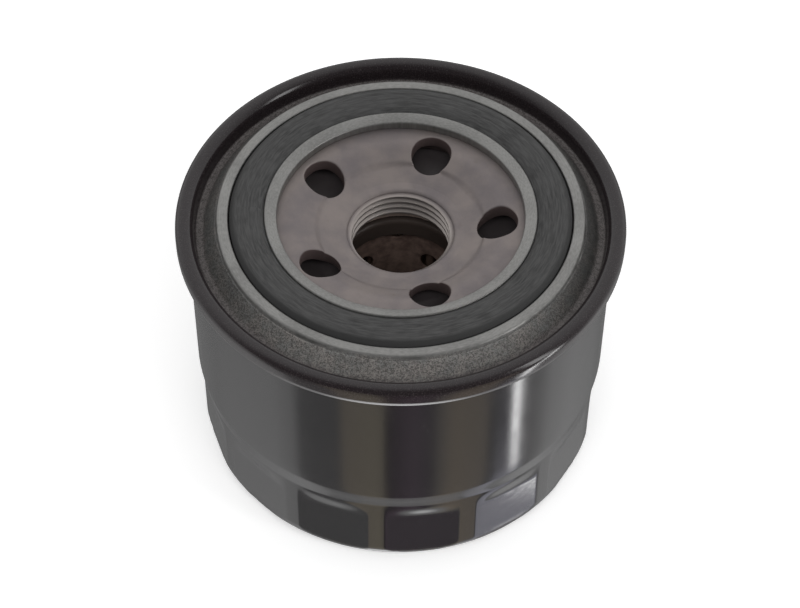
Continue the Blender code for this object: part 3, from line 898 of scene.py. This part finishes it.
def make_top_cap(finish):
    edge = CAP_R - CAP_SHEET
    skirt = low("top_end_cap")
    rim = CAP_TOP - CAP_RIM
    under = CAP_TOP - CAP_SHEET
    collar_r = CAP_BORE_R + CAP_SHEET
    corners = [(CAP_BORE_R, skirt, 0.2), (collar_r, skirt, 0.2), (collar_r, under, 0.6),
               (edge, under, 0.6), (edge, rim, 0.2), (CAP_R, rim, 0.2),
               (CAP_R, CAP_TOP, 1.0), (CAP_BORE_R, CAP_TOP, 1.0)]
    return turned_piece("upper_cap", corners, finish, "element", "top_end_cap", 1.5)


def make_bottom_cap(finish):
    edge = CAP_R - CAP_SHEET
    rim = high("bottom_end_cap")
    floor = CAP_BOTTOM + CAP_SHEET
    corners = [(SEAT_HOLE_R, CAP_BOTTOM, 0.2), (CAP_R, CAP_BOTTOM, 1.0), (CAP_R, rim, 0.2),
               (edge, rim, 0.2), (edge, floor, 0.6), (SEAT_HOLE_R, floor, 0.2)]
    return turned_piece("lower_cap", corners, finish, "element", "bottom_end_cap", 1.5)


def make_media(finish):
    """Pleated paper with rounded folds; each pleat bows a little to one side."""
    low_z, high_z = low("pleated_media"), high("pleated_media")
    pitch = math.tau / PLEAT_COUNT
    outer_half = FOLD_HALF / MEDIA_R_OUT
    folds = []
    for pleat in range(PLEAT_COUNT):
        peak = pleat * pitch
        for radius, angle, fillet in ((MEDIA_R_OUT, peak - outer_half, 0.8),
                                      (MEDIA_R_OUT, peak + outer_half, 0.8),
                                      (MEDIA_R_IN, peak + pitch / 4, 0.55),
                                      (MEDIA_R_IN, peak + pitch * 3 / 4, 0.55)):
            folds.append((*in_plan(radius, angle), fillet))
    line = subdivided(rounded(folds), 3.0)
    count = len(line)
    across = []
    for index, point in enumerate(line):
        along = (line[(index + 1) % count] - line[index - 1]).normalized()
        across.append(Vector((along.y, -along.x)) * MEDIA_T / 2)
    made = bmesh.new()
    rows = 14

    def sheet_loop(side, z):
        bow = math.sin(math.pi * (z - low_z) / (high_z - low_z))
        loop = []
        for point, offset in zip(line, across):
            spot = point + offset * side
            turn = math.atan2(spot.y, spot.x)
            reach = (spot.length - MEDIA_R_IN) / (MEDIA_R_OUT - MEDIA_R_IN)
            sway = PLEAT_SWAY * bow * reach * (1 - reach) * math.sin(5 * turn + 1.0)
            loop.append(made.verts.new(polar(spot.length, turn + sway, z)))
        return loop

    heights = [low_z + (high_z - low_z) * row / rows for row in range(rows + 1)]
    loops = [sheet_loop(1, z) for z in heights]
    loops += [sheet_loop(-1, z) for z in reversed(heights)]
    skin(made, loops, closed_loops=True)
    return finish_piece("paper_pleats", made, finish, "element", "pleated_media", crease_deg=50)


def make_clip(finish):
    """Folded channel on the pleat at angle 0, where the paper's ends meet."""
    low_z, high_z = low("pleat_clip"), high("pleat_clip")
    half_out = high("pleat_clip", "y")
    half_in = half_out - CLIP_SHEET
    r_out = high("pleat_clip", "x")
    r_in = r_out - CLIP_SHEET
    r_deep = low("pleat_clip", "x")
    plan = rounded([(r_deep, -half_out, 0.1), (r_out, -half_out, 0.7), (r_out, half_out, 0.7),
                    (r_deep, half_out, 0.1), (r_deep, half_in, 0.1), (r_in, half_in, 0.4),
                    (r_in, -half_in, 0.4), (r_deep, -half_in, 0.1)])
    made = bmesh.new()
    loops = []
    for row in range(13):
        z = low_z + (high_z - low_z) * row / 12
        loops.append([made.verts.new(Vector((point.x, point.y, z)) * MM) for point in plan])
    skin(made, loops)
    made.faces.new(loops[0])
    made.faces.new(loops[-1])
    return finish_piece("paper_clip", made, finish, "element", "pleat_clip")


def rolled_cells(made, columns, centres, z_low, z_high, hole, sheet, radius, phase, power=2):
    """One row of sheet cells round the axis, each with a hole, and its angles at the edges."""
    steps = 24
    cell = math.tau / columns
    rise_steps = 12

    def place(point, depth):
        return polar(radius - sheet * depth, point.x / radius, point.y)

    for column in range(columns):
        middle = phase + cell * column
        bottom = [Vector((radius * (middle - cell / 2 + cell * step / steps), z_low))
                  for step in range(steps + 1)]
        top = [Vector((point.x, z_high)) for point in reversed(bottom)]
        rise = [z_low + (z_high - z_low) * step / rise_steps for step in range(1, rise_steps)]
        right = [Vector((bottom[-1].x, z)) for z in rise]
        left = [Vector((bottom[0].x, z)) for z in reversed(rise)]
        holed_cell(made, bottom + right + top + left, Vector((radius * middle, centres)), hole,
                   place, sheet, 0.12, rows=5, power=power)
    return even_angles(columns * steps, phase - cell / 2)


def make_centre_tube(finish):
    """Perforated tube, its rows of holes staggered."""
    low_z, high_z = low("centre_tube"), high("centre_tube")
    row_step = (high_z - low_z) / TUBE_ROWS
    made = bmesh.new()
    for row in range(TUBE_ROWS):
        bottom = low_z + row_step * row
        phase = 0.06 + math.tau * 0.5 * (row % 2) / TUBE_COLUMNS
        angles = rolled_cells(made, TUBE_COLUMNS, bottom + row_step / 2, bottom,
                              bottom + row_step, TUBE_HOLE_R, TUBE_SHEET, TUBE_R, phase)
    for z in (low_z, high_z):
        skin(made, [ring(made, radius, z, angles) for radius in (TUBE_R, TUBE_R - TUBE_SHEET)])
    return finish_piece("perforated_tube", made, finish, "element", "centre_tube", merge=5e-6)


# ---- relief valve

def make_cage(finish):
    """Cup with windows that holds the coil over the disc."""
    foot, top = low("bypass_cage"), high("bypass_cage")
    wall_low, wall_high = foot + CAGE_EDGE, top - CAGE_EDGE
    inner = CAGE_R - CAGE_SHEET
    made = bmesh.new()
    angles = rolled_cells(made, WINDOW_COUNT, (foot + top) / 2, wall_low, wall_high, WINDOW_R,
                          CAGE_SHEET, CAGE_R, math.tau / 8, power=7)
    crown = rounded([(CAGE_R, wall_high), (CAGE_R, top, 0.9), (CAGE_HOLE_R, top, 0.15),
                     (CAGE_HOLE_R, top - CAGE_SHEET, 0.15), (inner, top - CAGE_SHEET, 0.4),
                     (inner, wall_high)], closed=False)
    flange = rounded([(CAGE_R, wall_low), (CAGE_R, foot + CAGE_SHEET, 0.4),
                      (CAGE_FLANGE_R, foot + CAGE_SHEET, 0.15), (CAGE_FLANGE_R, foot, 0.15),
                      (inner, foot, 0.3), (inner, wall_low)], closed=False)
    for path in (crown, flange):
        skin(made, rings(made, path, angles))
    return finish_piece("valve_cage", made, finish, "element", "bypass_cage", merge=5e-6)


def make_bypass_disc(finish):
    """Valve disc, with a boss that centres the coil."""
    low_z, high_z = low("bypass_disc"), high("bypass_disc")
    outer = high("bypass_disc", "x")
    shoulder = low_z + DISC_T
    corners = [(0, low_z), (outer, low_z, 0.2), (outer, shoulder, 0.2), (BOSS_R, shoulder, 0.3),
               (BOSS_R - 0.5, high_z, 0.35), (0, high_z)]
    return turned_piece("valve_disc", corners, finish, "relief_valve", "bypass_disc", 0.8,
                        steps=96, closed=False)


def make_bypass_spring(finish):
    """Coil of round wire with its end turns closed up."""
    bottom, top = low("bypass_spring"), high("bypass_spring")
    start = bottom + COIL_WIRE_R
    end = top - COIL_WIRE_R
    flat_turn = 0.75
    rise = (end - start - 2 * flat_turn * COIL_FLAT_PITCH) / (COIL_TURNS - 2 * flat_turn)
    made = bmesh.new()
    loops = []
    steps = COIL_TURNS * 40
    for step in range(steps + 1):
        turns = COIL_TURNS * step / steps
        lower = min(turns, flat_turn)
        upper = max(0.0, turns - (COIL_TURNS - flat_turn))
        z = start + (lower + upper) * COIL_FLAT_PITCH + (turns - lower - upper) * rise
        loops.append([made.verts.new(polar(COIL_R + COIL_WIRE_R * math.cos(side),
                                           math.tau * turns, z + COIL_WIRE_R * math.sin(side)))
                      for side in even_angles(16)])
    skin(made, loops)
    made.faces.new(loops[0])
    made.faces.new(loops[-1])
    piece = finish_piece("relief_coil", made, finish, "element", "bypass_spring", crease_deg=60)
    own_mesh(piece)
    return piece


# ---- studio

LENS_MM = 104.0                 # on a 36 mm wide sensor
CAMERA_FAR = 460.0
CAMERA_RISE = math.radians(50.6)
CAMERA_ROLL = math.radians(0.5)
AIM_BELOW_LIP = 27.6
LAMP_FRONT = 1.15               # metres, like the lamp's other sizes
LAMP_RISE = 1.45
LAMP_SIDE = 1.6
LAMP_WATTS = 52
FLOOR_GLOW = 0.34
STUDIO_STRENGTH = 3.0


def make_camera():
    data = bpy.data.cameras.new("camera")
    data.lens = LENS_MM
    data.sensor_width = 36
    data.clip_start = 0.01
    camera = bpy.data.objects.new("camera", data)
    bpy.context.scene.collection.objects.link(camera)
    aim = Vector((0, 0, LIP_TOP - AIM_BELOW_LIP))
    back = Vector((0, -math.cos(CAMERA_RISE), math.sin(CAMERA_RISE))) * CAMERA_FAR
    turn = Matrix.Rotation(math.pi / 2 - CAMERA_RISE, 4, "X") @ Matrix.Rotation(CAMERA_ROLL, 4, "Z")
    camera.matrix_world = Matrix.Translation((aim + back) * MM) @ turn
    bpy.context.scene.camera = camera


def make_soft_light():
    """A wide light above and in front, which reflections don't show."""
    data = bpy.data.lights.new("overhead", "AREA")
    data.shape = "SQUARE"
    data.size = LAMP_SIDE
    data.energy = LAMP_WATTS
    lamp = bpy.data.objects.new("overhead", data)
    lamp.location = (0, -LAMP_FRONT, LAMP_RISE)
    lamp.rotation_euler = (-math.atan2(LAMP_FRONT, LAMP_RISE), 0, 0)
    lamp.visible_glossy = False
    bpy.context.scene.collection.objects.link(lamp)


def make_floor():
    bpy.ops.mesh.primitive_plane_add(size=4.0, location=(0, 0, -0.0002))
    floor = bpy.context.object
    floor.name = "floor"
    finish = Finish("floor_paper", (0.93, 0.93, 0.93), 0.9, specular=0.1)
    finish.shader.inputs["Emission Color"].default_value = (1, 1, 1, 1)
    finish.shader.inputs["Emission Strength"].default_value = FLOOR_GLOW
    floor.data.materials.append(finish.material)
    floor.visible_glossy = False


# What stands round the studio below the table's edge: bearing from the front towards +X in
# degrees, and colour or grey. The front is a dark set with brown boards and a plum one between,
# and a narrow bright strip stands well to its +X side.
SURROUNDINGS = [
    (-180, 0.05), (-150, 0.08), (-127, 0.12), (-100, 0.22),
    (-75, 0.31), (-62, 0.28), (-58, 0.12), (-52, 0.12),
    (-35, 0.125), (-31, (0.25, 0.22, 0.18)), (-11, (0.29, 0.26, 0.20)),
    (-6, (0.046, 0.040, 0.044)), (0, (0.074, 0.057, 0.069)), (8, (0.112, 0.086, 0.106)),
    (19, (0.075, 0.068, 0.074)), (23, (0.17, 0.16, 0.145)), (31, (0.27, 0.23, 0.18)),
    (50, (0.22, 0.195, 0.165)), (55, 0.085), (66.3, 0.08), (68.0, 3.5),
    (71.1, 3.5), (73.1, 0.17), (79, 0.165), (95, 0.29),
    (112, 0.25), (127, 0.17), (150, 0.08), (180, 0.05)]


# Overhead: place from the front wall (0) over the zenith (0.5) to the back wall (1), and grey.
UPPER = [(0.0, 0.05), (0.2, 0.05), (0.33, 0.09), (0.45, 0.17),
         (0.5, 0.21), (0.63, 0.27), (0.8, 0.31), (1.0, 0.28)]


def make_world():
    """Studio surroundings: a dark set below, grey overhead, and a window up beside the front."""
    world = bpy.data.worlds.new("studio")
    world.use_nodes = True
    nodes = Nodes(world.node_tree)
    background = nodes.tree.nodes["Background"]
    direction = nodes.node("ShaderNodeTexCoord").outputs["Generated"]

    def ramp(value, stops):
        made = nodes.node("ShaderNodeValToRGB")
        elements = made.color_ramp.elements
        while len(elements) < len(stops):
            elements.new(0.5)
        for element, (position, color) in zip(elements, stops):
            element.position = position
            element.color = rgba(color)
        nodes.feed(made.inputs[0], value)
        return made.outputs["Color"]

    def around_ramp(stops):
        return ramp(turn, [(degrees / 360 + 0.5, color) for degrees, color in stops])

    def step(value, start, end):
        """0 up to start and 1 from end, or the other way round when end is the smaller."""
        ends = sorted((start, end))
        values = (0, 1) if start < end else (1, 0)
        return ramp(nodes.math("MULTIPLY_ADD", value, 0.5, 0.5),
                    [(place / 2 + 0.5, result) for place, result in zip(ends, values)])

    east, north, rise = nodes.axes(direction)
    bearing = nodes.math("ARCTAN2", east, nodes.times(north, -1.0))
    turn = nodes.plus(nodes.math("DIVIDE", bearing, math.tau), 0.5)
    low_strip = around_ramp([(57, 0), (60, 1), (76, 1), (79, 0)])
    sill = nodes.times(low_strip, step(rise, -0.8140, -0.8195))
    set_around = nodes.mix(sill, around_ramp(SURROUNDINGS), (0.36, 0.36, 0.41))
    window = around_ramp([(54, 0), (57, 1), (66, 1), (69, 0)])
    near_table = nodes.mix(step(rise, -0.92, -0.965), set_around, 0.24)
    below = nodes.mix(step(rise, -0.972, -0.996), near_table, 0.95)
    sky = ramp(nodes.math("MULTIPLY_ADD", north, 0.5, 0.5), UPPER)
    lit = nodes.mix(nodes.times(window, step(rise, 0.72, 0.60)), sky, 1.6)
    nodes.feed(background.inputs["Color"], nodes.mix(step(rise, -0.12, 0.02), below, lit))
    background.inputs["Strength"].default_value = STUDIO_STRENGTH
    bpy.context.scene.world = world


# ---- build

def build():
    paint = can_paint()
    rubber = valve_rubber()
    make_can(paint)
    make_lid(lid_steel())
    make_plate(plate_steel())
    make_gasket(gasket_rubber())
    make_anti_drain_valve(rubber)
    steel = cap_steel()
    spring = spring_steel()
    glue = adhesive()
    square_ring("seam_bead", "seam_compound", "housing", compound(), SEAM_BEAD_RADII,
                (0.1, 0.1), 0.4)
    make_support_spring(spring)
    make_top_cap(steel)
    make_bottom_cap(steel)
    for name, node in (("upper_potting", "top_potting"), ("lower_potting", "bottom_potting")):
        square_ring(name, node, "element", glue, (TUBE_R + 0.35, high(node, "x")),
                    (0.15, 0.35), 1.2)
    make_media(filter_paper())
    make_clip(steel)
    make_centre_tube(tube_steel())
    make_cage(steel)
    square_ring("valve_seal", "bypass_seal", "relief_valve", rubber,
                (SEAT_HOLE_R, high("bypass_seal", "x")), (0.25, 0.25), 0.8, steps=96)
    make_bypass_disc(steel)
    make_bypass_spring(spring)
    make_camera()
    make_floor()
    make_soft_light()
    make_world()
    bpy.context.scene.view_settings.view_transform = "Standard"


build()
